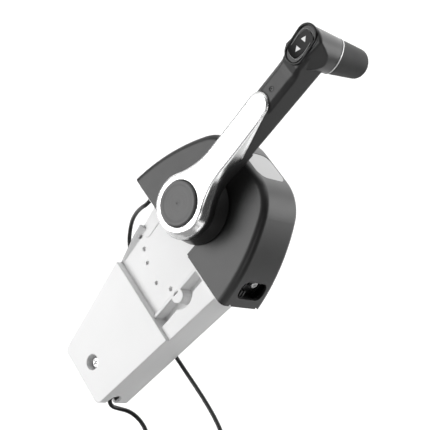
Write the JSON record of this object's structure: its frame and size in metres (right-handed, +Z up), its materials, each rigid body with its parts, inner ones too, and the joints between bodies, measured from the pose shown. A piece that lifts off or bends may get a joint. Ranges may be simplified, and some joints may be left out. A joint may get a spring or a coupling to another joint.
{
  "type": "boat throttle control lever",
  "caption": "Top-mounted boat engine control: swinging lever with grip, trim switch and hub button over a geared housing below deck.",
  "frame": {"origin": "centre of the four deck bolt holes, on the underside of the deck flange", "axes": "+Z up out of the deck, -Y towards the lever's side, +X along the cover towards the end whose window shows the cover screw"},
  "size_m": [0.2642, 0.104, 0.4958],
  "materials": {
    "cast_silver": "satin silver paint over a die casting",
    "plate_silver": "satin silver paint",
    "steel_screw": "plain stainless steel",
    "cover_black": "fine-grained satin black moulding",
    "insert_grey": "satin light grey panel",
    "bracket_black": "matt black moulding",
    "bush_plastic": "natural acetal",
    "axle_steel": "turned steel",
    "spring_steel": "drawn spring wire",
    "plug_brass": "machined brass",
    "switch_body": "black switch case",
    "anchor_steel": "zinc-plated bar",
    "seal_rubber": "black rubber",
    "clip_plastic": "black nylon",
    "gland_rubber": "black rubber",
    "lead_black": "black cable jacket, slight sheen",
    "plug_black": "black connector moulding",
    "shaft_steel": "ground steel",
    "clip_steel": "blued spring steel",
    "gear_steel": "sintered steel",
    "disc_steel": "stamped steel",
    "skirt_black": "satin black",
    "arm_black": "fine-textured black powder coat",
    "trim_chrome": "bright chrome on a casting",
    "grub_steel": "black oxide steel",
    "ring_light": "satin",
    "grip_black": "soft-touch black grip",
    "bezel_black": "black switch surround",
    "pin_steel": "turned steel",
    "button_rubber": "satin dark grey button",
    "rocker_black": "satin black rocker",
    "ball_steel": "polished ball",
    "plunger_plastic": "red acetal",
    "arm_steel": "zinc-plated steel"
  },
  "bodies": {
    "housing": {"housing_body": "cast_silver", "rear_plate": "plate_silver", "low_screw": "steel_screw", "rear_screws": "steel_screw", "dome_cover": "cover_black", "dome_insert": "insert_grey", "end_brackets": "bracket_black", "cover_screws": "steel_screw", "front_bush": "bush_plastic", "rear_bush": "bush_plastic", "shift_axle": "axle_steel", "throttle_axle": "axle_steel", "detent_spring": "spring_steel", "detent_plug": "plug_brass", "neutral_switch": "switch_body", "micro_screws": "steel_screw", "cable_anchor": "anchor_steel", "cable_seals": "seal_rubber", "lead_clips": "clip_plastic", "clip_screws": "steel_screw", "lead_gland": "gland_rubber", "trim_lead": "lead_black", "trim_lead_coil": "lead_black", "trim_lead_tail": "lead_black", "trim_lead_plug": "plug_black", "switch_lead": "lead_black", "switch_lead_coil": "lead_black", "switch_lead_tail": "lead_black", "switch_lead_plug": "plug_black"},
    "lever": {"main_shaft": "shaft_steel", "shaft_clip": "clip_steel", "drive_gear": "gear_steel", "detent_disc": "disc_steel", "hub_skirt": "skirt_black", "lever_arm": "arm_black", "chrome_trim": "trim_chrome", "lever_bolt": "steel_screw", "grub_screw": "grub_steel", "grip_ring": "ring_light", "grip_sleeve": "grip_black", "switch_bezel": "bezel_black", "rocker_pin": "pin_steel", "button_spring": "spring_steel"},
    "button": {"hub_button": "button_rubber"},
    "rocker": {"trim_rocker": "rocker_black"},
    "ball": {"detent_ball": "ball_steel"},
    "plunger": {"neutral_plunger": "plunger_plastic"},
    "shift_lever": {"shift_arm": "arm_steel", "shift_cable_pin": "pin_steel"},
    "throttle_lever": {"throttle_arm": "arm_steel", "throttle_cable_pin": "pin_steel"}
  },
  "joints": [
    {"name": "lever_swing", "type": "hinge", "parent": "housing", "child": "lever", "pos_m": [-0.005, -0.03, 0.0405], "axis": [0, 1, 0], "range_deg": [-60, 75]},
    {"name": "button_push", "type": "slide", "parent": "lever", "child": "button", "axis": [0, 1, 0], "range_m": [0, 0.003], "stiffness_N_per_m": 1200, "springref_m": -0.002, "deforming": ["button_spring"]},
    {"name": "rocker_tilt", "type": "hinge", "parent": "lever", "child": "rocker", "pos_m": [-0.007, -0.063, 0.2222], "axis": [0.9903, 0, -0.1392], "range_deg": [-7, 7], "stiffness_Nm_per_rad": 0.6},
    {"name": "detent_ball_slide", "type": "slide", "parent": "housing", "child": "ball", "axis": [0, 1, 0], "range_m": [0, 0.0012], "stiffness_N_per_m": 3000, "springref_m": -0.001, "deforming": ["detent_spring"]},
    {"name": "plunger_slide", "type": "slide", "parent": "housing", "child": "plunger", "axis": [0.866, 0, -0.5], "range_m": [0, 0.001], "stiffness_N_per_m": 400, "springref_m": -0.001},
    {"name": "shift_swing", "type": "hinge", "parent": "housing", "child": "shift_lever", "pos_m": [-0.01742, -0.0055, -0.00586], "axis": [0, 1, 0], "range_deg": [-45, 36]},
    {"name": "throttle_swing", "type": "hinge", "parent": "housing", "child": "throttle_lever", "pos_m": [0.00665, 0.0035, -0.00297], "axis": [0, 1, 0], "range_deg": [-50, 40]}
  ],
  "couplings": [
    {"joint": "shift_swing", "follows": "lever_swing", "ratio": -0.6},
    {"joint": "throttle_swing", "follows": "lever_swing", "ratio": -0.66667}
  ]
}
